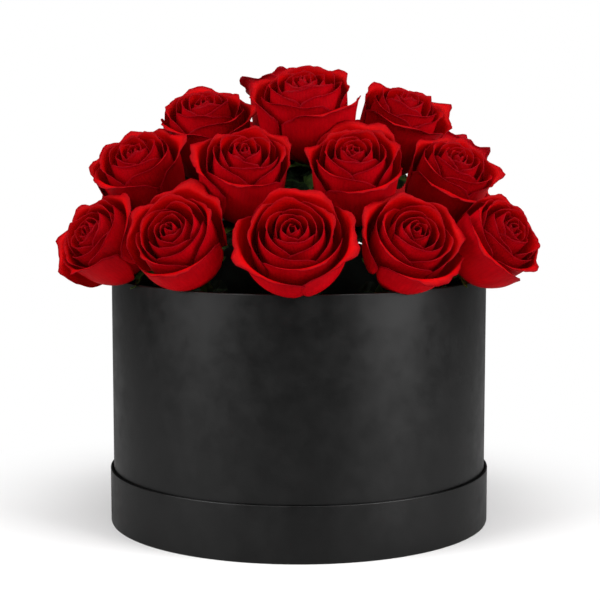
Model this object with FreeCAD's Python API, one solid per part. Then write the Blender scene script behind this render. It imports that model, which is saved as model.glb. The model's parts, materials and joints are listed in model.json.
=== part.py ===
"""Round hat box of roses: a card box standing in its own lid, with a lift-out liner of wet foam
that holds a dome of long-stemmed roses. Millimetres, +Z up, origin at the middle of the lid's underside."""
import FreeCAD, Part
import math
import os

Vector = FreeCAD.Vector

# Box
box_radius = 120.0
box_height = 158.0
box_board = 2.0
paper = 0.2
glue = 0.05
turn_in = 15.0
seam_lap = 12.0

# Lid, used as the base tray
lid_height = 35.0
lid_board = 1.2
lid_slip = 0.4
lid_turn_in = 10.0

# Liner and foam
liner_wall = 0.8
liner_slip = 0.6
liner_drop = 30.0
foam_slip = 0.5
foam_below_liner = 5.0
mound_radius = 58.0
mound_height = 53.0
mound_shoulder = 22.0

# Stems, which all point at one place on the middle line, this high
stem_focus = 90.0
stem_radius = 3.2
stem_hole_slip = 0.3
stem_insertion = 34.0
stem_bend_radius = 18.0
neck_length = 9.0
hip_length = 17.0
hip_radius = 6.2
hip_shoulder = 5.0
hip_waist = 9.0
seat_edge = 1.5
cut_slant = 40.0

# Sepals
sepal_count = 5
sepal_length = 8.0
sepal_rise = 3.5
sepal_thickness = 0.8
sepal_notch = 1.0

# Blooms
dome_overhang = 13.0
bloom_length = 46.0
bloom_gap = 0.8
petal_thickness = 0.4
petal_gap = 0.25
petal_count = 12
heart_base = 2.0
golden_angle = 137.508

# Petal outlines from the claw to the tip: heights as shares of the bloom's length, radii as shares of its
# radius, and the half angle that a petal spans as a share of its widest
SHELL_STEPS = 7
OUTER_HEIGHTS = (0.0, 0.11, 0.26, 0.45, 0.64, 0.78, 0.85)
OUTER_RADII = (0.0, 0.44, 0.64, 0.78, 0.86, 0.93, 1.00)
INNER_HEIGHTS = (0.0, 0.15, 0.32, 0.55, 0.80, 0.98, 1.06)
INNER_RADII = (0.0, 0.16, 0.22, 0.26, 0.25, 0.21, 0.17)
PETAL_WIDTHS = (0.35, 0.62, 0.88, 1.00, 1.00, 0.92, 0.60)
INNER_HALF_ANGLE = 85.0
OUTER_HALF_ANGLE = 62.0

# Rose heads of the front half: place of the face as shares of the dome's reach, measured from the middle of
# the rim, then the way it faces (degrees round from the front, degrees from upright) and its relative width
FRONT_HEADS = [
    ((-0.966, -0.594, 0.252), -48, 59, 1.00),
    ((-0.570, -0.850, 0.289), -21, 53, 1.07),
    ((-0.027, -0.985, 0.301), -2, 49, 1.17),
    ((0.522, -0.842, 0.282), 21, 52, 1.05),
    ((0.968, -0.639, 0.271), 46, 57, 1.00),
    ((-0.764, -0.406, 0.609), -24, 37, 1.00),
    ((-0.232, -0.647, 0.626), 8, 38, 1.02),
    ((0.247, -0.647, 0.625), 0, 38, 1.02),
    ((0.746, -0.391, 0.581), 32, 37, 1.00),
    ((0.019, -0.286, 0.931), -8, 22, 1.15),
]
# The two heads on the middle line of the dome, which the back half shares
MIDDLE_HEADS = [
    ((-0.447, -0.135, 0.828), -5, 25, 1.05),
    ((0.520, -0.086, 0.842), 36, 30, 1.02),
]
# The head at the side, between the front and the back row
SIDE_HEADS = [
    ((-1.023, 0.010, 0.256), -90, 60, 0.92),
]

# Levels and radii that follow
lid_floor_top = paper + glue + lid_board
box_bottom = lid_floor_top
rim_height = box_bottom + box_height
wall_outer = box_radius - paper - glue
wall_inner = wall_outer - box_board
lining_inner = wall_inner - glue - paper
floor_bottom = box_bottom + paper + glue
floor_top = floor_bottom + box_board
lid_wall_inner = box_radius + lid_slip + paper + glue
lid_wall_outer = lid_wall_inner + lid_board
lid_radius = lid_wall_outer + glue + paper
liner_outer = lining_inner - liner_slip
liner_inner = liner_outer - liner_wall
liner_top = rim_height - liner_drop
foam_radius = liner_inner - foam_slip
foam_bottom = floor_top + liner_wall
foam_top = liner_top - foam_below_liner
mound_top = foam_top + mound_height
dome_reach = box_radius + dome_overhang
petal_pitch = petal_thickness + petal_gap
claw_radius = heart_base + petal_count * petal_pitch


def disc(radius, bottom, top):
    return Part.makeCylinder(radius, top - bottom, Vector(0, 0, bottom))


def tube(inner, outer, bottom, top):
    return disc(outer, bottom, top).cut(disc(inner, bottom, top))


def turned(outline):
    """Solid of revolution about Z from a closed outline of (radius, height) points."""
    points = [Vector(radius, 0, height) for radius, height in outline]
    face = Part.Face(Part.makePolygon(points + points[:1]))
    return face.revolve(Vector(0, 0, 0), Vector(0, 0, 1), 360)


def lap(radius, bottom, top):
    """Raised strip at the back, where the covering paper overlaps itself."""
    span = math.degrees(seam_lap / radius)
    strip = tube(radius, radius + paper, bottom, top)
    wedge = Part.makeCylinder(2 * radius, top - bottom, Vector(0, 0, bottom), Vector(0, 0, 1), span)
    wedge.rotate(Vector(0, 0, 0), Vector(0, 0, 1), 90 - span / 2)
    return strip.common(wedge)


def covering(outer, inner, bottom, top, tuck):
    """Paper sleeve over a card wall, folded over its top edge and a little way down the inside."""
    return turned([
        (outer - paper, bottom),
        (outer, bottom),
        (outer, top),
        (inner, top),
        (inner, top - tuck),
        (inner + paper, top - tuck),
        (inner + paper, top - paper),
        (outer - paper, top - paper),
    ])


def lid_pieces():
    sleeve = covering(lid_radius, lid_wall_inner - glue - paper, paper / 2, lid_height, lid_turn_in)
    return {
        "lid_face": disc(lid_wall_outer, 0, paper),
        "lid_disc": disc(lid_wall_inner - glue, paper + glue, lid_floor_top),
        "lid_rim": tube(lid_wall_inner, lid_wall_outer, paper + glue, lid_height - paper - glue),
        "lid_wrap": sleeve.fuse(lap(lid_radius, paper / 2, lid_height)).removeSplitter(),
    }


def box_pieces():
    sleeve = covering(box_radius, lining_inner, box_bottom, rim_height, turn_in)
    lining_top = rim_height - turn_in - glue
    return {
        "box_base_sheet": disc(wall_outer, box_bottom, box_bottom + paper),
        "box_floor": disc(wall_inner - glue, floor_bottom, floor_top),
        "box_wall": tube(wall_inner, wall_outer, floor_bottom, rim_height - paper - glue),
        "box_wrap": sleeve.fuse(lap(box_radius, lid_height + paper, rim_height - paper)).removeSplitter(),
        "box_lining": tube(lining_inner, lining_inner + paper, floor_top + glue, lining_top),
    }


def liner_tub():
    return disc(liner_outer, floor_top, liner_top).cut(disc(liner_inner, foam_bottom, liner_top))


def mix(first, last, share):
    return first + (last - first) * share


def mound_block():
    block = disc(mound_radius, foam_top, mound_top)
    top_edge = [edge for edge in block.Edges if edge.BoundBox.ZMin > foam_top + mound_height / 2]
    return block.makeFillet(mound_shoulder, top_edge[:1])


class Head:
    """One rose head: its face, its claw, the way it faces and the way its stem is pushed in. A side of -1
    turns it half way round the box."""

    def __init__(self, place, azimuth, tilt, width, side):
        self.face = Vector(side * place[0], side * place[1], place[2]) * dome_reach
        self.face.z += rim_height
        around = math.radians(azimuth)
        lean = math.radians(tilt)
        self.axis = Vector(side * math.sin(lean) * math.sin(around),
                           -side * math.sin(lean) * math.cos(around),
                           math.cos(lean))
        self.width = width

    def settle(self, unit, foam):
        """Sets the sizes and places that follow once the room between the heads is known."""
        self.radius = unit * self.width
        self.claw = self.face - self.axis * bloom_length
        self.hip_end = self.claw - self.axis * hip_length
        self.elbow = self.hip_end - self.axis * neck_length
        self.push = (self.elbow - Vector(0, 0, stem_focus)).normalize()
        inside = Part.makeLine(self.elbow, self.elbow - self.push * box_height).common(foam)
        self.entry = min((vertex.Point for vertex in inside.Vertexes), key=self.elbow.distanceToPoint)
        self.tail = self.entry - self.push * stem_insertion

    def placement(self):
        return FreeCAD.Placement(self.claw, FreeCAD.Rotation(Vector(0, 0, 1), self.axis))


def rose_heads(foam):
    heads = [Head(*row, 1) for row in FRONT_HEADS + MIDDLE_HEADS + SIDE_HEADS]
    heads += [Head(*row, -1) for row in FRONT_HEADS + SIDE_HEADS]
    room = [
        (one.face.distanceToPoint(other.face) - bloom_gap) / (one.width + other.width)
        for number, one in enumerate(heads)
        for other in heads[:number]
    ]
    for head in heads:
        head.settle(min(room), foam)
    return heads


def crescent(radius, height, half_angle):
    """Closed outline of a petal cut across: two arcs about the bloom's axis, joined at their ends."""
    def point(reach, angle):
        return Vector(reach * math.cos(angle), reach * math.sin(angle), height)

    inner = radius - petal_thickness / 2
    outer = radius + petal_thickness / 2
    low, high = -half_angle, half_angle
    return Part.Wire([
        Part.Arc(point(outer, low), point(outer, 0), point(outer, high)).toShape(),
        Part.makeLine(point(outer, high), point(inner, high)),
        Part.Arc(point(inner, high), point(inner, 0), point(inner, low)).toShape(),
        Part.makeLine(point(inner, low), point(outer, low)),
    ])


def petal(number, bloom_radius):
    """One petal of the spiral, counted from the heart outwards, as a loft through crescents."""
    share = number / petal_count
    widest = math.radians(mix(INNER_HALF_ANGLE, OUTER_HALF_ANGLE, share))
    sections = []
    for step in range(SHELL_STEPS):
        height = mix(INNER_HEIGHTS[step], OUTER_HEIGHTS[step], share) * bloom_length
        radius = mix(INNER_RADII[step], OUTER_RADII[step], share) * bloom_radius
        if step == 0:
            radius = heart_base + number * petal_pitch
        sections.append(crescent(radius, height, widest * PETAL_WIDTHS[step]))
    shape = Part.makeLoft(sections, True)
    shape.rotate(Vector(0, 0, 0), Vector(0, 0, 1), number * golden_angle)
    return shape


def heart(bloom_radius):
    """Closed bud in the middle of the bloom, just inside the first petal."""
    outline = [Vector(heart_base, 0, 0)]
    for step in range(1, SHELL_STEPS - 1):
        reach = INNER_RADII[step] * bloom_radius - petal_pitch
        outline.append(Vector(reach, 0, INNER_HEIGHTS[step] * bloom_length))
    tip = Vector(0, 0, bloom_length)
    side = Part.BSplineCurve()
    side.interpolate(outline + [tip])
    middle = Vector(0, 0, 0)
    edges = [side.toShape(), Part.makeLine(tip, middle), Part.makeLine(middle, outline[0])]
    return Part.Face(Part.Wire(edges)).revolve(middle, Vector(0, 0, 1), 360)


def bloom(head, turn):
    pieces = [heart(head.radius)] + [petal(number, head.radius) for number in range(1, petal_count + 1)]
    shape = Part.makeCompound(pieces)
    shape.rotate(Vector(0, 0, 0), Vector(0, 0, 1), turn)
    shape.Placement = head.placement() * shape.Placement
    return shape


def sepals():
    """Pointed sepals, cut as a star out of a shallow cone under the petals."""
    root = hip_radius - paper
    reach = hip_radius + sepal_length
    top = sepal_rise / 2
    cone = turned([
        (root, -top - 2 * sepal_thickness),
        (reach, top),
        (reach, top + sepal_thickness),
        (root, -top - sepal_thickness),
    ])
    corners = []
    for corner in range(2 * sepal_count):
        angle = math.pi * corner / sepal_count
        distance = hip_radius + sepal_notch if corner % 2 else reach
        corners.append(Vector(distance * math.cos(angle), distance * math.sin(angle), -reach))
    star = Part.Face(Part.makePolygon(corners + corners[:1])).extrude(Vector(0, 0, 2 * reach))
    return cone.common(star)


def hip_body():
    """Seat of the petals and the swollen hip under it, down to where the neck of the stem begins."""
    seat = -petal_gap
    return turned([
        (0, seat),
        (claw_radius, seat),
        (claw_radius, seat - seat_edge),
        (hip_radius, -hip_shoulder),
        (hip_radius, -hip_waist),
        (stem_radius, -hip_length),
        (0, -hip_length),
    ])


def stem(head):
    """Rose stem: hip and sepals, with a gap between two sepals on the low side, a bent neck and a straight
    shaft with a slanting cut."""
    hip = hip_body().fuse(sepals())
    downhill = math.degrees(math.atan2(head.axis.y, head.axis.x))
    hip.rotate(Vector(0, 0, 0), Vector(0, 0, 1), downhill + 180 / sepal_count)
    hip.Placement = head.placement() * hip.Placement
    turn = head.axis.getAngle(head.push)
    setback = stem_bend_radius * math.tan(turn / 2)
    inside = (head.axis - head.push).normalize()
    upper = head.elbow + head.axis * setback
    lower = head.elbow - head.push * setback
    middle = head.elbow + inside * (stem_bend_radius / math.cos(turn / 2) - stem_bend_radius)
    path = Part.Wire([
        Part.makeLine(head.hip_end, upper),
        Part.Arc(upper, middle, lower).toShape(),
    ])
    section = Part.Wire(Part.makeCircle(stem_radius, head.hip_end, head.axis * -1))
    neck = path.makePipeShell([section], True, False)
    return Part.makeCompound([hip, neck, shaft(head, lower)])


def shaft(head, top):
    """Straight part of a stem from the end of the bend down, with its slanting cut."""
    length = top.distanceToPoint(head.tail)
    slant = 2 * stem_radius * math.tan(math.radians(cut_slant))
    profile = Part.makePolygon([
        Vector(-2 * stem_radius, 0, -slant / 2),
        Vector(2 * stem_radius, 0, 3 * slant / 2),
        Vector(2 * stem_radius, 0, length),
        Vector(-2 * stem_radius, 0, length),
        Vector(-2 * stem_radius, 0, -slant / 2),
    ])
    wedge = Part.Face(profile).extrude(Vector(0, 4 * stem_radius, 0))
    wedge.translate(Vector(0, -2 * stem_radius, 0))
    rod = Part.makeCylinder(stem_radius, length)
    rod.rotate(Vector(0, 0, 0), Vector(0, 0, 1), cut_slant)
    rod = rod.common(wedge)
    rod.Placement = FreeCAD.Placement(head.tail, FreeCAD.Rotation(Vector(0, 0, 1), head.push)) * rod.Placement
    return rod


def stem_hole(head):
    """Straight hole that a stem makes in the foam."""
    radius = stem_radius + stem_hole_slip
    return Part.makeCylinder(radius, head.entry.distanceToPoint(head.tail) + neck_length,
                             head.tail - head.push * stem_hole_slip, head.push)


def save(name, shape):
    shape.exportStep(os.path.join("parts", name + ".step"))


os.makedirs("parts", exist_ok=True)
pieces = {**lid_pieces(), **box_pieces(), "liner": liner_tub()}
foam_block = disc(foam_radius, foam_bottom, foam_top)
foam_mound = mound_block()
heads = rose_heads(foam_block.fuse(foam_mound))
holes = [stem_hole(head) for head in heads]
pieces["foam_block"] = foam_block.cut(holes)
pieces["foam_mound"] = foam_mound.cut(holes)
for number, head in enumerate(heads, 1):
    pieces[f"rose_{number:02d}_bloom"] = bloom(head, number * golden_angle / 2)
    pieces[f"rose_{number:02d}_stem"] = stem(head)
for name, shape in pieces.items():
    save(name, shape)
print(len(pieces), "nodes,", sum(len(shape.Solids) for shape in pieces.values()), "solids")
for number, head in enumerate(heads, 1):
    direction = [round(value, 6) for value in head.push]
    print(f"rose_{number:02d} width {2 * head.radius:.1f} pushed in along", direction)
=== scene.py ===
# %% [markdown]
# A round black flower box with a dome of red roses. The box stands in its own lid. Inside it a thin tub
# holds wet foam, and the roses are pushed into the foam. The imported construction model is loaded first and
# stays fixed. Everything made below is built round it, in metres, and rides on one of its bodies, so it
# moves when the box is lifted or a rose is pulled out.

# %% Load the frame
import bpy
import json
import math
import numpy as np
from mathutils import Matrix, Vector

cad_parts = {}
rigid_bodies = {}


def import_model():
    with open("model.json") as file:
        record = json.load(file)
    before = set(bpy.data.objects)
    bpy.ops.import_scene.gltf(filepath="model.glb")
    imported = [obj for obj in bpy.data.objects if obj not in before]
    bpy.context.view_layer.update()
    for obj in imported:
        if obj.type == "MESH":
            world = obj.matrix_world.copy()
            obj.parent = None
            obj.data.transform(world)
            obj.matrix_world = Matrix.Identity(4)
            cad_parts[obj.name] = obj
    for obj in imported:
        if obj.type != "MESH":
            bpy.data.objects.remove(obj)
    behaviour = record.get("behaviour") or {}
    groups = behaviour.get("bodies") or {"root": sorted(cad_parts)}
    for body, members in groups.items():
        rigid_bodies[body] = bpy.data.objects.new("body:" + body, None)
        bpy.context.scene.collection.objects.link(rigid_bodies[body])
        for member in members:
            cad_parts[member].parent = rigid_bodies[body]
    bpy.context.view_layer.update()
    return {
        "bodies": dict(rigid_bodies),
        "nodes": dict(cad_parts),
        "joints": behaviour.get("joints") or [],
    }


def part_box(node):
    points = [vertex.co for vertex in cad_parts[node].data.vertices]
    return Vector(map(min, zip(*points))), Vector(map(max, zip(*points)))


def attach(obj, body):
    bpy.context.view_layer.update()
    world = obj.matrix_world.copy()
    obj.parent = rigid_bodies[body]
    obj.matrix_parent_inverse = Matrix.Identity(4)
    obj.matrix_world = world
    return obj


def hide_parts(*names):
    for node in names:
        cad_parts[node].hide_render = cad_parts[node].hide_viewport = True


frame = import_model()
MM = 0.001
ROSES = sorted(name for name in frame["bodies"] if name.startswith("rose_"))
print("frame:", len(frame["nodes"]), "nodes,", len(ROSES), "roses")

# %% [markdown]
# Operators act on whatever is selected, and the loaded nodes come in selected, so every piece starts from
# an empty selection. A finished piece keeps its place in its mesh: its object stays at the origin,
# unturned. Petals, sepals and leaves are all sheets, so a flat grid to start from and a thickening at the
# end serve all three. The last helper hands a piece over to the body that carries it.

# %% Helpers for modelling
def deselect():
    bpy.ops.object.select_all(action="DESELECT")


def activate(*objects):
    deselect()
    for thing in objects:
        thing.select_set(True)
    bpy.context.view_layer.objects.active = objects[0]


def points_of(thing):
    flat = np.empty(3 * len(thing.data.vertices), np.float32)
    thing.data.vertices.foreach_get("co", flat)
    return flat.reshape(-1, 3).astype(float)


def move_points(thing, points):
    thing.data.vertices.foreach_set("co", np.asarray(points, np.float32).ravel())
    thing.data.update()


def flat_sheet(columns, rows):
    """A flat grid, with each point's place across it (-1 to 1) and along it (0 to 1)."""
    deselect()
    bpy.ops.mesh.primitive_grid_add(x_subdivisions=columns, y_subdivisions=rows, size=2)
    sheet = bpy.context.object
    flat = points_of(sheet)
    return sheet, flat[:, 0], (flat[:, 1] + 1) / 2


def thicken(sheet, thickness, offset=-1.0, inner_material=0):
    solid = sheet.modifiers.new("thickness", "SOLIDIFY")
    solid.thickness = thickness
    solid.offset = offset
    solid.material_offset = inner_material
    activate(sheet)
    bpy.ops.object.modifier_apply(modifier=solid.name)


def join(pieces, name):
    activate(*pieces)
    bpy.ops.object.join()
    joined = bpy.context.object
    joined.name = joined.data.name = name
    return joined


def hand_over(piece, body, node):
    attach(piece, body)
    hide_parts(node)


# %% [markdown]
# Colours are written as the sRGB hex values a painter would pick, and turned to the linear light values
# that the shader wants in one place. One function adds a node with its settings and its links: everything
# after that is plain wiring, from a texture coordinate to the shader.

# %% Helpers for materials
def to_linear(hex_colour):
    values = [int(hex_colour[start:start + 2], 16) / 255 for start in (1, 3, 5)]
    return [v / 12.92 if v <= 0.04045 else ((v + 0.055) / 1.055) ** 2.4 for v in values] + [1.0]


def add_node(tree, kind, links=None, inputs=None, **settings):
    """Adds one node. links maps an input to another node's output, inputs maps an input to a value."""
    node = tree.nodes.new(kind)
    for key, value in settings.items():
        setattr(node, key, value)
    for key, value in (inputs or {}).items():
        node.inputs[key].default_value = value
    for key, source in (links or {}).items():
        tree.links.new(source, node.inputs[key])
    return node


def new_material(name, **inputs):
    """A material with one principled shader, and constant values set straight on its sockets."""
    material = bpy.data.materials.new(name)
    material.use_nodes = True
    shader = material.node_tree.nodes["Principled BSDF"]
    for key, value in inputs.items():
        shader.inputs[key.replace("_", " ")].default_value = value
    return material, material.node_tree, shader


def set_ramp(node, stops):
    """Fills a colour ramp from (place, hex colour) pairs."""
    elements = node.color_ramp.elements
    while len(elements) < len(stops):
        elements.new(0.5)
    for element, (place, colour) in zip(elements, stops):
        element.position = place
        element.color = to_linear(colour)
    return node


def tint_by(tree, shader, factor, stops):
    """Colours a shader with a ramp over one value."""
    ramp = set_ramp(add_node(tree, "ShaderNodeValToRGB", {"Fac": factor}), stops)
    tree.links.new(ramp.outputs["Color"], shader.inputs["Base Color"])


def bump_by(tree, shader, height, strength, distance):
    """Roughens a shader's surface by one value. distance is the height of the relief."""
    bump = add_node(tree, "ShaderNodeBump", {"Height": height}, {"Strength": strength, "Distance": distance})
    tree.links.new(bump.outputs["Normal"], shader.inputs["Normal"])


# %% [markdown]
# Covering paper. A hat box is rolled grey board covered with black paper, dyed through and uncoated. It is
# matte, so it shows wide soft highlights and no reflections, and its fibres lie unevenly, which gives a
# faint cloudy mottling a centimetre across and a fine tooth. Real fibres are under 0.1 mm; the tooth is
# drawn at about 0.5 mm so that it shows.

# %% Black covering paper
def covering_paper():
    material, tree, shader = new_material("black_covering_paper", Specular_IOR_Level=0.33)
    place = add_node(tree, "ShaderNodeTexCoord")
    cloud = add_node(tree, "ShaderNodeTexNoise", {"Vector": place.outputs["Object"]},
                     {"Scale": 70.0, "Detail": 5.0, "Roughness": 0.62})
    tooth = add_node(tree, "ShaderNodeTexNoise", {"Vector": place.outputs["Object"]},
                     {"Scale": 1900.0, "Detail": 2.0})
    tint_by(tree, shader, cloud.outputs["Fac"], [(0.30, "#030303"), (0.72, "#0A0A0A")])
    gloss = add_node(tree, "ShaderNodeMapRange", {"Value": cloud.outputs["Fac"]},
                     {"From Min": 0.3, "From Max": 0.7, "To Min": 0.30, "To Max": 0.44})
    tree.links.new(gloss.outputs["Result"], shader.inputs["Roughness"])
    bump_by(tree, shader, tooth.outputs["Fac"], 0.25, 0.1 * MM)
    return material


paper = covering_paper()
print("made", paper.name)

# %% [markdown]
# Inside, the wall is lined with a thinner black paper. The board itself is grey, pulped from waste paper,
# so it is speckled. Both are close cousins of the covering and only show when the box is taken apart.

# %% Board and lining
def speckled_sheet(name, dark, light, speck_size, roughness):
    material, tree, shader = new_material(name, Roughness=roughness, Specular_IOR_Level=0.15)
    place = add_node(tree, "ShaderNodeTexCoord")
    specks = add_node(tree, "ShaderNodeTexNoise", {"Vector": place.outputs["Object"]},
                      {"Scale": 1 / speck_size, "Detail": 4.0, "Roughness": 0.7})
    tint_by(tree, shader, specks.outputs["Fac"], [(0.35, dark), (0.68, light)])
    bump_by(tree, shader, specks.outputs["Fac"], 0.3, 0.1 * MM)
    return material


board = speckled_sheet("grey_pulp_board", "#6E6A63", "#9A958B", 1.2 * MM, 0.85)
lining = speckled_sheet("black_lining_paper", "#040404", "#080808", 1.0 * MM, 0.8)
print("made", board.name, "and", lining.name)

# %% [markdown]
# The tub is vacuum-formed polypropylene: smooth, half glossy, with a slight ripple. The foam is a wet
# phenolic foam, dark green, full of cells a fraction of a millimetre wide, drawn at 0.8 mm so that they
# show. Its green is painted almost black, as painted shade for the dark inside of the box.

# %% Tub and foam
CELL_SIZE = 0.8 * MM


def tub_plastic():
    material, tree, shader = new_material("vacuum_formed_tub", Roughness=0.35, IOR=1.49)
    place = add_node(tree, "ShaderNodeTexCoord")
    ripple = add_node(tree, "ShaderNodeTexNoise", {"Vector": place.outputs["Object"]},
                      {"Scale": 60.0, "Detail": 2.0})
    tint_by(tree, shader, ripple.outputs["Fac"], [(0.3, "#060606"), (0.7, "#0B0B0B")])
    bump_by(tree, shader, ripple.outputs["Fac"], 0.2, 0.6 * MM)
    return material


def foam_dark_as_painted_shade():
    material, tree, shader = new_material("wet_flower_foam_painted_shade", Roughness=0.8, Specular_IOR_Level=0.12)
    place = add_node(tree, "ShaderNodeTexCoord")
    cells = add_node(tree, "ShaderNodeTexVoronoi", {"Vector": place.outputs["Object"]},
                     {"Scale": 1 / CELL_SIZE})
    damp = add_node(tree, "ShaderNodeTexNoise", {"Vector": place.outputs["Object"]},
                    {"Scale": 45.0, "Detail": 4.0})
    # Painted shade: the foam's green is darkened almost to black for the shade inside the box.
    tint_by(tree, shader, damp.outputs["Fac"], [(0.3, "#030603"), (0.7, "#060B05")])
    bump_by(tree, shader, cells.outputs["Distance"], 0.7, 0.4 * MM)
    return material


tub = tub_plastic()
foam = foam_dark_as_painted_shade()
print("made", tub.name, "and", foam.name)

# %% [markdown]
# Rose petals. A petal is a thin, moist leaf: velvety inside, where tiny cone-shaped cells soak up light and
# make the red deep and saturated, smoother and duller outside, where the veins show. Each petal has its own
# UV map, with U across and V from the base to the rim, so the veins fan out from the base by themselves as
# lines of even U. Towards the base the red is painted much darker, as painted shade for the deep heart and
# the underside of the bloom. Near the rim it is painted a little darker than in the middle, as painted shade
# that tones down the light on the upturned rims, and at the very edge it dries to a bluish crimson. Light
# goes a little way into the petal, which softens its shadows.

# %% Petal red, inside and outside
VEINS_ACROSS = 46


def petal_red(name, base, middle, rim, dry, vein, roughness):
    material, tree, shader = new_material(
        name, Roughness=roughness, Specular_IOR_Level=0.03, Subsurface_Weight=0.12,
        Subsurface_Radius=(0.9, 0.12, 0.08), Subsurface_Scale=1.2 * MM)
    place = add_node(tree, "ShaderNodeTexCoord")
    across_along = add_node(tree, "ShaderNodeSeparateXYZ", {"Vector": place.outputs["UV"]})
    # Painted shade in the ramp: the red darkens towards the base for the deep heart and the bloom's
    # underside, and a little near the rim to tone down the light on the upturned rims.
    ramp = set_ramp(add_node(tree, "ShaderNodeValToRGB", {"Fac": across_along.outputs["Y"]}),
                    [(0.05, base), (0.45, middle), (0.93, rim), (0.995, dry)])
    patches = add_node(tree, "ShaderNodeTexNoise", {"Vector": place.outputs["Object"]},
                       {"Scale": 160.0, "Detail": 3.0})
    shade = add_node(tree, "ShaderNodeMapRange", {"Value": patches.outputs["Fac"]},
                     {"From Min": 0.3, "From Max": 0.7, "To Min": 0.86, "To Max": 1.06})
    veins = add_node(tree, "ShaderNodeTexWave", {"Vector": place.outputs["UV"]},
                     {"Scale": VEINS_ACROSS / math.tau, "Distortion": 5.0, "Detail": 3.0,
                      "Detail Scale": 1.2})
    furrow = add_node(tree, "ShaderNodeMapRange", {"Value": veins.outputs["Fac"]},
                      {"From Min": 0.0, "From Max": 0.35, "To Min": 1 - vein, "To Max": 1.0})
    both = add_node(tree, "ShaderNodeMath", {0: shade.outputs["Result"], 1: furrow.outputs["Result"]},
                    operation="MULTIPLY")
    tint = add_node(tree, "ShaderNodeVectorMath", {0: ramp.outputs["Color"], "Scale": both.outputs["Value"]},
                    operation="SCALE")
    tree.links.new(tint.outputs["Vector"], shader.inputs["Base Color"])
    bump_by(tree, shader, veins.outputs["Fac"], 0.18 + vein, 0.12 * MM)
    return material


petal_inside = petal_red("petal_red_inside", "#4A0002", "#B60002", "#A00003", "#7C0006", 0.05, 0.55)
petal_outside = petal_red("petal_red_outside", "#500003", "#A40008", "#96000A", "#74000A", 0.10, 0.50)
print("made", petal_inside.name, "and", petal_outside.name)

# %% [markdown]
# Greens. Stem, hip and sepals are waxy and a little streaky. Leaves are darker, with a pale midrib and side
# veins, drawn from their own UV map as the petals' veins are. The leaves' near-black green is partly their
# own dark green and partly painted shade for the gaps between the roses that they fill.

# %% Stem green and leaf green
def stem_green(name, dark, light, tip):
    material, tree, shader = new_material(name, Roughness=0.45, Specular_IOR_Level=0.4)
    place = add_node(tree, "ShaderNodeTexCoord")
    streaks = add_node(tree, "ShaderNodeTexNoise", {"Vector": place.outputs["Object"]},
                       {"Scale": 240.0, "Detail": 3.0, "Roughness": 0.6})
    tint_by(tree, shader, streaks.outputs["Fac"], [(0.30, dark), (0.62, light), (0.80, tip)])
    bump_by(tree, shader, streaks.outputs["Fac"], 0.2, 0.3 * MM)
    return material


def leaf_green_and_painted_shade():
    material, tree, shader = new_material("rose_leaf_green", Roughness=0.55, Specular_IOR_Level=0.12)
    place = add_node(tree, "ShaderNodeTexCoord")
    across_along = add_node(tree, "ShaderNodeSeparateXYZ", {"Vector": place.outputs["UV"]})
    from_middle = add_node(tree, "ShaderNodeMath", {0: across_along.outputs["X"]}, {1: 0.5},
                           operation="SUBTRACT")
    off_rib = add_node(tree, "ShaderNodeMath", {0: from_middle.outputs["Value"]}, operation="ABSOLUTE")
    slant = add_node(tree, "ShaderNodeMath", {0: off_rib.outputs["Value"], 1: across_along.outputs["Y"]},
                     operation="SUBTRACT")
    side_veins = add_node(tree, "ShaderNodeMath", {0: slant.outputs["Value"]}, {1: 50.0},
                          operation="MULTIPLY")
    wave = add_node(tree, "ShaderNodeMath", {0: side_veins.outputs["Value"]}, operation="SINE")
    rib = add_node(tree, "ShaderNodeMapRange", {"Value": off_rib.outputs["Value"]},
                   {"From Min": 0.0, "From Max": 0.05, "To Min": 1.0, "To Max": 0.0})
    ridge = add_node(tree, "ShaderNodeMapRange", {"Value": wave.outputs["Value"]},
                     {"From Min": 0.75, "From Max": 1.0, "To Min": 0.0, "To Max": 0.45})
    pale = add_node(tree, "ShaderNodeMath", {0: rib.outputs["Result"], 1: ridge.outputs["Result"]},
                    operation="MAXIMUM")
    # The near-black green is partly the leaf's own dark green and partly painted shade for the gaps between
    # roses.
    tint_by(tree, shader, pale.outputs["Value"], [(0.0, "#0A1407"), (1.0, "#24381A")])
    bump_by(tree, shader, pale.outputs["Value"], 0.4, 0.4 * MM)
    return material


green = stem_green("waxy_stem_green", "#1E3011", "#38501D", "#56662C")
sepal_green = stem_green("sepal_green", "#243A12", "#476022", "#6A5A2C")
leaf = leaf_green_and_painted_shade()
print("made", green.name, sepal_green.name, leaf.name)

# %% [markdown]
# Some construction nodes already have the right shape: the boards, the lining, the tub and the foam. They
# stay, and only take their finish.

# %% Finish the nodes that stay
NODE_FINISHES = {
    "lid_face": paper, "lid_disc": board, "lid_rim": board,
    "box_base_sheet": paper, "box_floor": board, "box_wall": board, "box_lining": lining,
    "liner": tub, "foam_block": foam, "foam_mound": foam,
}
for node, finish in NODE_FINISHES.items():
    thing = frame["nodes"][node]
    thing.data.materials.clear()
    thing.data.materials.append(finish)
print("finished", len(NODE_FINISHES), "construction nodes")

# %% [markdown]
# The coverings. Paper folded over a board edge can't make a sharp corner: it goes over in a small round. So
# each covering is drawn as a thin outline with rounded folds and spun round the box's axis.

# %% Spin a covering from its outline
SPIN_STEPS = 192
PAPER_THICK = 0.2 * MM


def rounded_corner(centre, radius, start, end, steps=6):
    """Points of a round fold in the outline, as (radius, height) pairs, from one angle to another."""
    turns = [math.radians(start + (end - start) * step / steps) for step in range(steps + 1)]
    return [(centre[0] + radius * math.cos(turn), centre[1] + radius * math.sin(turn)) for turn in turns]


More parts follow.
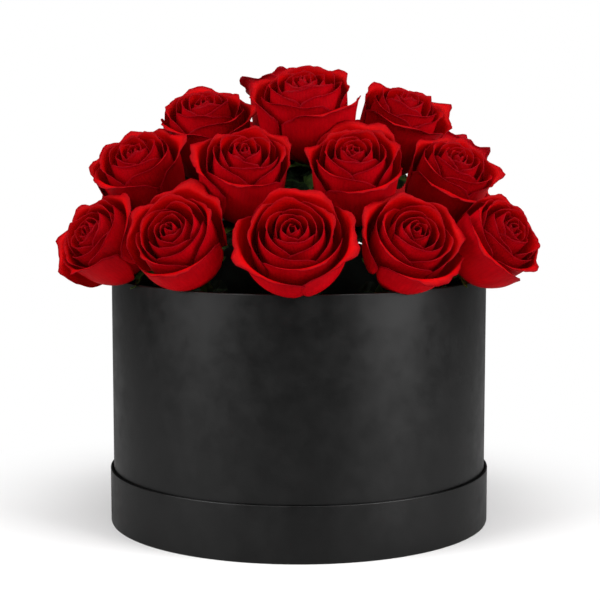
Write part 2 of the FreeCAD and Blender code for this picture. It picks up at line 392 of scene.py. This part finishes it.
def spin_outline(outline, name, steps, angle):
    """Turns a closed outline of (radius, height) points round Z."""
    deselect()
    bpy.ops.mesh.primitive_circle_add(vertices=len(outline), radius=1.0)
    sleeve = bpy.context.object
    move_points(sleeve, [(r, 0, z) for r, z in outline])
    bpy.ops.object.mode_set(mode="EDIT")
    bpy.ops.mesh.select_all(action="SELECT")
    bpy.ops.mesh.spin(steps=steps, angle=angle, center=(0, 0, 0), axis=(0, 0, 1))
    bpy.ops.mesh.select_all(action="SELECT")
    bpy.ops.mesh.remove_doubles(threshold=1e-6)
    bpy.ops.mesh.normals_make_consistent(inside=False)
    bpy.ops.object.mode_set(mode="OBJECT")
    sleeve.name = sleeve.data.name = name
    return sleeve


# %% [markdown]
# Sizes come from the construction's own coverings. The box's paper goes up the wall, over the rim and a
# little way down inside; the lid's starts in a round fold at the foot and goes over the lid's open edge in
# the same way. The last stretch of paper overlaps the first at the back, which shows as a slightly raised
# strip.

# %% Coverings of the box and of the lid
box_low, box_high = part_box("box_wrap")
lid_low, lid_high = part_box("lid_wrap")
BOX_RADIUS = box_high.x
LID_RADIUS = lid_high.x
RIM_HEIGHT = box_high.z
BOX_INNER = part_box("box_lining")[1].x - PAPER_THICK
LID_SLIP = 0.4 * MM
LID_INNER = BOX_RADIUS + LID_SLIP
BOX_TURN_IN = 15 * MM
LID_TURN_IN = 10 * MM
BOX_FOLD = 0.7 * MM
LID_FOLD = 0.5 * MM
LID_FOOT_FOLD = 0.6 * MM
SEAM_LAP = 12 * MM


def folded_top(outer, inner, top, fold, tuck):
    """Outline of paper going up a wall, over its top edge and a little way down the inside, and back."""
    thin = fold - PAPER_THICK
    outside = rounded_corner((outer - fold, top - fold), fold, 0, 90)
    outside += rounded_corner((inner + fold, top - fold), fold, 90, 180)
    inside = rounded_corner((inner + fold, top - fold), thin, 180, 90)
    inside += rounded_corner((outer - fold, top - fold), thin, 90, 0)
    return outside + [(inner, top - tuck), (inner + PAPER_THICK, top - tuck)] + inside


def spin_lap(radius, bottom, top, name):
    """The raised strip at the back where the paper overlaps itself."""
    half = SEAM_LAP / radius / 2
    outline = [(radius - PAPER_THICK / 2, bottom), (radius + PAPER_THICK, bottom),
               (radius + PAPER_THICK, top), (radius - PAPER_THICK / 2, top)]
    strip = spin_outline(outline, name, 12, 2 * half)
    bpy.ops.object.mode_set(mode="EDIT")
    bpy.ops.mesh.select_all(action="DESELECT")
    bpy.ops.mesh.select_mode(type="EDGE")
    bpy.ops.mesh.select_non_manifold()
    bpy.ops.mesh.edge_face_add()
    bpy.ops.mesh.select_mode(type="VERT")
    bpy.ops.mesh.select_all(action="SELECT")
    bpy.ops.mesh.normals_make_consistent(inside=False)
    bpy.ops.object.mode_set(mode="OBJECT")
    strip.data.transform(Matrix.Rotation(math.pi / 2 - half, 4, "Z"))
    return strip


box_outline = [(BOX_RADIUS, box_low.z)]
box_outline += folded_top(BOX_RADIUS, BOX_INNER, RIM_HEIGHT, BOX_FOLD, BOX_TURN_IN)
box_outline += [(BOX_RADIUS - PAPER_THICK, box_low.z)]
foot = (LID_RADIUS - LID_FOOT_FOLD, lid_low.z + LID_FOOT_FOLD)
lid_outline = rounded_corner(foot, LID_FOOT_FOLD, -80, 0)
lid_outline += folded_top(LID_RADIUS, LID_INNER, lid_high.z, LID_FOLD, LID_TURN_IN)
lid_outline += rounded_corner(foot, LID_FOOT_FOLD - PAPER_THICK, 0, -80)
for name, body, node, outline, radius, bottom, top in (
        ("box_covering", "box", "box_wrap", box_outline, BOX_RADIUS, lid_high.z + PAPER_THICK,
         RIM_HEIGHT - BOX_FOLD),
        ("lid_covering", "lid", "lid_wrap", lid_outline, LID_RADIUS, foot[1], lid_high.z - LID_FOLD)):
    sleeve = spin_outline(outline, name, SPIN_STEPS, 2 * math.pi)
    sleeve = join([sleeve, spin_lap(radius, bottom, top, name + "_lap")], name)
    activate(sleeve)
    bpy.ops.object.shade_smooth_by_angle(angle=math.radians(35))
    sleeve.data.materials.append(paper)
    hand_over(sleeve, body, node)
    print(name, len(sleeve.data.polygons), "faces")

# %% [markdown]
# Where the roses are. The table repeats the driving values of the construction: for each head of the front
# half, the place of its face as shares of the dome's reach from the middle of the rim, the way it faces
# (degrees round from the front, degrees from upright) and its relative width. The back half is the front
# turned half round. The widest heads that still leave a small gap to their neighbours set the size of all.
# Heads higher up show more of their side, so their blooms are longer, and those at the back are drawn a
# little tighter.

# %% Rose heads
DOME_OVERHANG = 13 * MM
DOME_REACH = BOX_RADIUS + DOME_OVERHANG
BLOOM_LENGTH = 46 * MM
TALL_BLOOM_LENGTH = 54 * MM
TALL_FROM = 0.5
BLOOM_AND_HIP = 63 * MM
BLOOM_GAP = 0.8 * MM
BACK_TIGHTNESS = 0.88
NECK_LENGTH = 9 * MM
FRONT_HEADS = [
    ((-0.966, -0.594, 0.252), -48, 59, 1.00),
    ((-0.570, -0.850, 0.289), -21, 53, 1.07),
    ((-0.027, -0.985, 0.301), -2, 49, 1.17),
    ((0.522, -0.842, 0.282), 21, 52, 1.05),
    ((0.968, -0.639, 0.271), 46, 57, 1.00),
    ((-0.764, -0.406, 0.609), -24, 37, 1.00),
    ((-0.232, -0.647, 0.626), 8, 38, 1.02),
    ((0.247, -0.647, 0.625), 0, 38, 1.02),
    ((0.746, -0.391, 0.581), 32, 37, 1.00),
    ((0.019, -0.286, 0.931), -8, 22, 1.15),
]
MIDDLE_HEADS = [
    ((-0.447, -0.135, 0.828), -5, 25, 1.05),
    ((0.520, -0.086, 0.842), 36, 30, 1.02),
]
SIDE_HEADS = [
    ((-1.023, 0.010, 0.256), -90, 60, 0.92),
]


def head(place, azimuth, tilt, width, side):
    face = Vector((side * place[0], side * place[1], place[2])) * DOME_REACH
    face.z += RIM_HEIGHT
    around, lean = math.radians(azimuth), math.radians(tilt)
    axis = Vector((side * math.sin(lean) * math.sin(around), -side * math.sin(lean) * math.cos(around),
                   math.cos(lean)))
    length = TALL_BLOOM_LENGTH if place[2] > TALL_FROM else BLOOM_LENGTH
    return {"face": face, "axis": axis, "width": width, "length": length, "claw": face - axis * length,
            "hip_end": face - axis * BLOOM_AND_HIP}


heads = [head(*row, 1) for row in FRONT_HEADS + MIDDLE_HEADS + SIDE_HEADS]
heads += [head(*row, -1) for row in FRONT_HEADS + SIDE_HEADS]
unit = min(((one["face"] - other["face"]).length - BLOOM_GAP) / (one["width"] + other["width"])
           for number, one in enumerate(heads) for other in heads[:number])
for one in heads:
    tightness = BACK_TIGHTNESS if one["face"].y > 0 else 1.0
    one["radius"] = unit * one["width"] * tightness
print("heads:", len(heads), "unit radius", round(unit / MM, 2), "mm")

# %% [markdown]
# One petal. It starts as a flat grid, because a petal is a sheet: X runs across it and Y from its base to
# its rim. A formula then cups it. Cut along its middle, a petal follows a curve of radius and height that
# is given for the innermost, the middle and the outermost petals and blended in between: the inner ones
# close up into a bud, the outer ones swell into a belly and turn out at the rim. On top of that come the
# things that make petals look alive: a pointed tip, corners that roll back, a waved and slightly torn rim,
# a lean of its own, and a spiral set, so that one edge of each petal lies under its neighbour. Sculpting
# each by hand would take days; a formula with a seeded draw for each petal gives every one its own shape
# and the same result each time.

# %% Shape a petal
ALONG = (0.0, 0.20, 0.45, 0.70, 0.88, 1.0)
INNER_RADII = (0.05, 0.09, 0.11, 0.10, 0.06, 0.02)
INNER_HEIGHTS = (0.0, 0.25, 0.50, 0.78, 0.95, 1.01)
MIDDLE_RADII = (0.16, 0.37, 0.52, 0.55, 0.52, 0.52)
MIDDLE_HEIGHTS = (0.0, 0.20, 0.46, 0.74, 0.93, 1.00)
OUTER_RADII = (0.28, 0.61, 0.84, 0.91, 0.94, 1.00)
OUTER_HEIGHTS = (0.0, 0.12, 0.37, 0.64, 0.81, 0.85)
SHARES = (0.0, 0.25, 0.5, 1.0)
HALF_ANGLES = (125, 100, 80, 70)
TEARS = ((9, 0.012), (19, 0.010), (31, 0.009))
OPEN_FROM = 0.35
RIM_FROM = 0.62
LIP_FROM = 0.88


def smooth_through(values, where):
    """Smooth curve through the values that belong to ALONG, read at where."""
    knots, levels = np.array(ALONG), np.array(values)
    slopes = np.gradient(levels, knots)
    span = np.clip(np.searchsorted(knots, where) - 1, 0, len(knots) - 2)
    width = knots[span + 1] - knots[span]
    t = (where - knots[span]) / width
    return ((1 + 2 * t) * (1 - t) ** 2 * levels[span] + t * (1 - t) ** 2 * width * slopes[span]
            + t * t * (3 - 2 * t) * levels[span + 1] + t * t * (t - 1) * width * slopes[span + 1])


def between(inner, middle, outer, share):
    return [np.interp(share, (0, 0.5, 1), row) for row in zip(inner, middle, outer)]


def petal_points(across, along, share, facing, radius, length, draw):
    """Places a flat petal's points on its shape. share is 0 for the innermost petal, 1 for the outermost."""
    open_part = max(0.0, share - OPEN_FROM) / (1 - OPEN_FROM)
    half_angle = math.radians(np.interp(share, SHARES, HALF_ANGLES)) * draw.uniform(0.90, 1.08)
    phase = draw.uniform(0, 2 * math.pi, 4)
    flare = 1 + open_part * draw.uniform(-0.09, 0.08)
    point = draw.uniform(0.5, 1.2)
    torn = sum(depth * np.sin(count * across + shift) for (count, depth), shift in zip(TEARS, phase))
    tip = (0.03 + 0.02 * open_part) * point * np.exp(-(across / 0.17) ** 2)
    top = 1 - 0.20 * np.abs(across) ** 3 - 0.07 * across ** 2 + tip + torn * (0.4 + 0.6 * open_part)
    up = along * top
    inside = np.clip(up, 0, 1)
    past = up - inside
    spread = 0.26 + 0.74 * np.sin(np.clip(up / RIM_FROM, 0, 1) * math.pi / 2)
    angle = facing + half_angle * spread * across
    reach = smooth_through(between(INNER_RADII, MIDDLE_RADII, OUTER_RADII, share), inside) * radius
    height = smooth_through(between(INNER_HEIGHTS, MIDDLE_HEIGHTS, OUTER_HEIGHTS, share), inside) * length
    reach = reach * (1 + (flare - 1) * inside ** 3) + past * length * open_part * 0.8
    height = height + past * length * (0.9 - 0.7 * open_part)
    reach = reach * (1 + (0.10 - 0.05 * share) * across * inside)
    rim = np.clip((up - RIM_FROM) / (1 - RIM_FROM), 0, 1.2)
    roll = rim ** 2 * np.abs(across) ** 2.2 * (0.8 + 3.3 * open_part) * MM * draw.uniform(0.4, 1.3)
    lip = np.clip((up - LIP_FROM) / (1 - LIP_FROM), 0, 1.3) ** 2
    wave = rim ** 2 * np.sin((4.4 + 5.0 * open_part) * across + phase[3])
    reach = reach + roll + lip * (0.3 + 1.0 * open_part) * MM + wave * (0.2 + 0.9 * open_part) * MM
    height = height - roll * (0.25 + 0.70 * open_part) - lip * 0.6 * open_part * MM
    height = height + wave * (0.6 + 0.9 * open_part) * MM + up * draw.uniform(-1.2, 1.2) * MM
    lean = draw.uniform(-1, 1, 2) * (0.5 + 1.2 * share) * MM
    return np.stack([reach * np.cos(angle) + lean[0] * inside ** 2,
                     reach * np.sin(angle) + lean[1] * inside ** 2, height], -1)


# %% [markdown]
# A bloom. Petals are set one after another at the golden angle, as in the plant, tight in the heart and
# wider apart outwards. They are joined to one object and thickened with a Solidify modifier, which also
# gives the inner face its own material. The mesh itself is then moved to its place.

# %% Build the blooms
PETALS = 19
PETAL_THICK = 0.35 * MM
GOLDEN_ANGLE = math.radians(137.508)


def petal(share, facing, radius, length, draw):
    steps = round(np.interp(share, (0, 1), (20, 26)))
    sheet, across, along = flat_sheet(steps + 2, steps)
    move_points(sheet, petal_points(across, along, share, facing, radius, length, draw))
    return sheet


def bloom(number, one):
    draw = np.random.default_rng(number)
    start = draw.uniform(0, 2 * math.pi)
    sheets = []
    for count in range(PETALS):
        share = ((count + 0.35) / (PETALS - 0.65)) ** 1.3
        facing = start + count * GOLDEN_ANGLE + draw.uniform(-0.14, 0.14)
        sheets.append(petal(share, facing, one["radius"], one["length"], draw))
    flower = join(sheets, f"rose_{number:02d}_petals")
    flower.data.materials.append(petal_outside)
    flower.data.materials.append(petal_inside)
    thicken(flower, PETAL_THICK, offset=0, inner_material=1)
    bpy.ops.object.shade_smooth()
    turn = Vector((0, 0, 1)).rotation_difference(one["axis"]).to_matrix().to_4x4()
    flower.data.transform(Matrix.Translation(one["claw"]) @ turn)
    return flower


triangles = 0
for number, one in enumerate(heads, 1):
    flower = bloom(number, one)
    hand_over(flower, f"rose_{number:02d}", f"rose_{number:02d}_bloom")
    triangles += sum(len(face.vertices) - 2 for face in flower.data.polygons)
print("blooms:", len(heads), "with", triangles, "triangles")

# %% [markdown]
# Under each bloom sits the calyx: the swollen green hip and five narrow sepals that once wrapped the bud
# and now curl out from under the petals. The hip is an outline spun round the bloom's axis; a sepal is a
# grid shaped like a petal, long and pointed. Each rose gets its own, because no two sets of sepals curl
# alike.

# %% Model a calyx
CLAW_RADIUS = 9.8 * MM
HIP_RADIUS = 6.2 * MM
STEM_RADIUS = 3.2 * MM
SEPALS = 5
SEPAL_LENGTH = 17 * MM
SEPAL_HALF_WIDTH = 3.4 * MM
SEPAL_THICK = 0.5 * MM
SEPAL_ROOT = (7.0 * MM, -2.2 * MM)


def hip_outline(length):
    seat = -0.4 * MM
    return [(0.0, seat), (CLAW_RADIUS * 0.8, seat), (CLAW_RADIUS * 0.93, seat - 0.7 * MM),
            (CLAW_RADIUS * 0.85, seat - 1.8 * MM), (HIP_RADIUS * 1.05, -0.27 * length),
            (HIP_RADIUS, -0.41 * length), (HIP_RADIUS * 0.9, -0.59 * length),
            (HIP_RADIUS * 0.68, -0.76 * length), (STEM_RADIUS, -length), (0.0, -length)]


def sepal(facing, curl, draw):
    blade, across, along = flat_sheet(6, 16)
    width = SEPAL_HALF_WIDTH * (1 - along) ** 0.7 * (0.75 + 0.5 * along)
    run = along * SEPAL_LENGTH
    reach = SEPAL_ROOT[0] + 0.86 * run + 1.5 * MM * np.sin(along * math.pi)
    height = SEPAL_ROOT[1] + 0.30 * run + curl * MM * along ** 3
    side = across * width + draw.uniform(-1.5, 1.5) * MM * along ** 2
    height = height + 0.8 * MM * across ** 2 * (1 - along)
    points = np.stack([reach * math.cos(facing) - side * math.sin(facing),
                       reach * math.sin(facing) + side * math.cos(facing), height], -1)
    move_points(blade, points)
    thicken(blade, SEPAL_THICK)
    blade.data.materials.append(sepal_green)
    return blade


def calyx(number, length):
    draw = np.random.default_rng(100 + number)
    hip = spin_outline(hip_outline(length), "hip", 24, 2 * math.pi)
    hip.data.materials.append(green)
    blades = [sepal(2 * math.pi * count / SEPALS, draw.uniform(-3, 4), draw) for count in range(SEPALS)]
    return join([hip] + blades, "calyx")


# %% [markdown]
# The stem follows the construction: from the hip it runs on for a short neck, bends, and goes straight into
# the foam along the way the rose is pulled out. A Bezier curve with a round bevel gives that bend without
# kinks. The lowest point of the construction's stem says where the cut end is. Leaves sit on each neck: one
# small pair on the low roses, and five larger leaves on the tall ones, which stand freer and close the gaps
# of the dome.

# %% Build the stems
LEAF_LENGTH = 25 * MM
LEAF_HALF_WIDTH = 10.5 * MM
LEAF_THICK = 0.35 * MM
LOW_LEAF_SIZE = 0.6


def tube(points, handles, radius):
    deselect()
    bpy.ops.curve.primitive_bezier_curve_add()
    curve = bpy.context.object
    spline = curve.data.splines[0]
    spline.bezier_points.add(len(points) - 2)
    for knot, place, (before, after) in zip(spline.bezier_points, points, handles):
        knot.handle_left_type = knot.handle_right_type = "FREE"
        knot.co, knot.handle_left, knot.handle_right = place, before, after
    curve.data.bevel_depth = radius
    curve.data.bevel_resolution = 3
    curve.data.resolution_u = 10
    curve.data.use_fill_caps = True
    activate(curve)
    bpy.ops.object.convert(target="MESH")
    return bpy.context.object


def leaf_blade(root, heading, up, size, draw):
    blade, across, along = flat_sheet(12, 26)
    outline = np.sin(np.clip(along, 0, 1) ** 0.8 * math.pi) ** 0.75
    teeth = 1 + 0.09 * np.abs(np.sin(along * 13 * math.pi)) * np.abs(across) ** 6
    side = across * LEAF_HALF_WIDTH * outline * teeth
    run = along * LEAF_LENGTH * draw.uniform(0.85, 1.1)
    fold = 3.0 * MM * np.abs(across) * outline
    rise = -5 * MM * along ** 2 + fold + 0.7 * MM * np.sin(along * 16 + across * 3)
    sideways = heading.cross(up).normalized()
    spread = np.outer(run, heading) + np.outer(side, sideways) + np.outer(rise, up)
    move_points(blade, size * spread + np.array(root))
    thicken(blade, LEAF_THICK)
    blade.data.materials.append(leaf)
    return blade


def stem(number, one):
    draw = np.random.default_rng(200 + number)
    axis = one["axis"]
    push = Vector(next(j["axis"] for j in frame["joints"] if j["child"] == f"rose_{number:02d}"))
    elbow = one["hip_end"] - axis * NECK_LENGTH
    depth = min(point @ np.array(push) for point in points_of(frame["nodes"][f"rose_{number:02d}_stem"]))
    tail = elbow + push * (depth - elbow.dot(push))
    start = one["hip_end"] + axis * 1.5 * MM
    below = elbow - push * NECK_LENGTH
    shaft = tube([start, below, tail], [(start, elbow), (elbow, below - push * NECK_LENGTH), (tail, tail)],
                 STEM_RADIUS)
    shaft.data.materials.append(green)
    cup = calyx(number, (one["claw"] - one["hip_end"]).length)
    downhill = math.atan2(axis.y, axis.x) + math.pi / SEPALS
    turn = Vector((0, 0, 1)).rotation_difference(axis).to_matrix().to_4x4()
    cup.data.transform(Matrix.Translation(one["claw"]) @ turn @ Matrix.Rotation(downhill, 4, "Z"))
    tangent = push.cross(Vector((0, 0, 1))).normalized()
    outward = Vector((0, 0, 1)).cross(tangent)
    leaves = []
    spots = [(elbow, tangent, outward, 0.3), (elbow, -tangent, outward, 0.3)]
    if one["length"] == TALL_BLOOM_LENGTH:
        spots += [(one["hip_end"], tangent, outward, 0.8), (one["hip_end"], -tangent, outward, 0.8),
                  (one["hip_end"], outward, tangent, 0.3)]
    size = 1.0 if one["length"] == TALL_BLOOM_LENGTH else LOW_LEAF_SIZE
    for root, way, front, rise in spots:
        twist = math.radians(draw.uniform(20, 55))
        heading = (way + Vector((0, 0, rise * draw.uniform(0.7, 1.2)))).normalized()
        facing = front * math.cos(twist) + Vector((0, 0, 1)) * math.sin(twist)
        facing = (facing - heading * facing.dot(heading)).normalized()
        leaves.append(leaf_blade(root, heading, facing, size, draw))
    return join([cup, shaft] + leaves, f"rose_{number:02d}_green")


for number, one in enumerate(heads, 1):
    stalk = stem(number, one)
    activate(stalk)
    bpy.ops.object.shade_smooth_by_angle(angle=math.radians(50))
    hand_over(stalk, f"rose_{number:02d}", f"rose_{number:02d}_stem")
print("stems:", len(heads))

# %% [markdown]
# The stage. The box stands on a white table top that fades into a white background: near the box the floor
# is a plain diffuse sheet that takes its shadow, and further out it gives the camera plain white. What the
# box mirrors is darker, as in a studio hung with black cloth, so that its black stays deep.

# %% Floor and background
FLOOR_SIZE = 30.0
SHADOW_REACH = 0.13
FADE_END = 0.30


def table_top():
    material = bpy.data.materials.new("white_table_top")
    material.use_nodes = True
    tree = material.node_tree
    shader = tree.nodes["Principled BSDF"]
    shader.inputs["Roughness"].default_value = 0.7
    path = add_node(tree, "ShaderNodeLightPath")
    tone = add_node(tree, "ShaderNodeMapRange", {"Value": path.outputs["Is Glossy Ray"]},
                    {"To Min": 0.70, "To Max": 0.28})
    tree.links.new(tone.outputs["Result"], shader.inputs["Base Color"])
    place = add_node(tree, "ShaderNodeTexCoord")
    distance = add_node(tree, "ShaderNodeVectorMath", {0: place.outputs["Object"]}, operation="LENGTH")
    fade = add_node(tree, "ShaderNodeMapRange", {"Value": distance.outputs["Value"]},
                    {"From Min": SHADOW_REACH, "From Max": FADE_END}, interpolation_type="SMOOTHSTEP")
    seen_far = add_node(tree, "ShaderNodeMath", {0: fade.outputs["Result"], 1: path.outputs["Is Camera Ray"]},
                        operation="MULTIPLY")
    white = add_node(tree, "ShaderNodeEmission", inputs={"Color": (1, 1, 1, 1), "Strength": 1.0})
    mixed = add_node(tree, "ShaderNodeMixShader", {0: seen_far.outputs["Value"], 1: shader.outputs["BSDF"],
                                                   2: white.outputs["Emission"]})
    tree.links.new(mixed.outputs["Shader"], tree.nodes["Material Output"].inputs["Surface"])
    return material


deselect()
bpy.ops.mesh.primitive_plane_add(size=FLOOR_SIZE)
floor = bpy.context.object
floor.name = "floor"
floor.data.materials.append(table_top())

AMBIENT = 0.49
REFLECTED = 0.03
world = bpy.data.worlds.new("studio")
bpy.context.scene.world = world
world.use_nodes = True
tree = world.node_tree
path = add_node(tree, "ShaderNodeLightPath")
mirrored = add_node(tree, "ShaderNodeMapRange", {"Value": path.outputs["Is Glossy Ray"]},
                    {"To Min": AMBIENT, "To Max": REFLECTED})
level = add_node(tree, "ShaderNodeMath", {0: path.outputs["Is Camera Ray"], 1: mirrored.outputs["Result"]},
                 operation="MAXIMUM")
background = tree.nodes["Background"]
background.inputs["Color"].default_value = (1, 1, 1, 1)
tree.links.new(level.outputs["Value"], background.inputs["Strength"])
print("stage: floor and world")

# %% [markdown]
# The light is a broad soft box on either side, a little to the front, which puts a soft band on each side
# of the dark box and leaves its middle darker, and one over the roses.

# %% Lamps
def soft_box(name, place, target, width, height, power):
    deselect()
    bpy.ops.object.light_add(type="AREA", location=place)
    lamp = bpy.context.object
    lamp.name = name
    lamp.data.shape = "RECTANGLE"
    lamp.data.size, lamp.data.size_y, lamp.data.energy = width, height, power
    lamp.rotation_euler = (Vector(target) - Vector(place)).to_track_quat("-Z", "Y").to_euler()


soft_box("left_soft_box", (-1.1, -0.7, 0.75), (0, 0, 0.18), 0.8, 0.9, 19)
soft_box("right_soft_box", (1.1, -0.7, 0.70), (0, 0, 0.18), 0.8, 0.9, 23)
soft_box("top_soft_box", (0.0, -0.30, 1.35), (0, 0, 0.2), 1.1, 0.9, 13)
print("lamps: 3")

# %% [markdown]
# The camera stands where the photograph's did: about 1.15 m in front of the box and a little above the
# roses, looking slightly down with a long lens.

# %% Camera
CAMERA_PLACE = (0, -1.148, 0.28525)
LOOKING_DOWN = math.radians(7.14)
deselect()
bpy.ops.object.camera_add(location=CAMERA_PLACE, rotation=(math.pi / 2 - LOOKING_DOWN, 0, 0))
camera = bpy.context.object
camera.data.sensor_width = 36
camera.data.lens = 107.6
camera.data.shift_x = 0.0017
bpy.context.scene.camera = camera
bpy.context.scene.view_settings.view_transform = "Standard"
print("camera", camera.location[:])
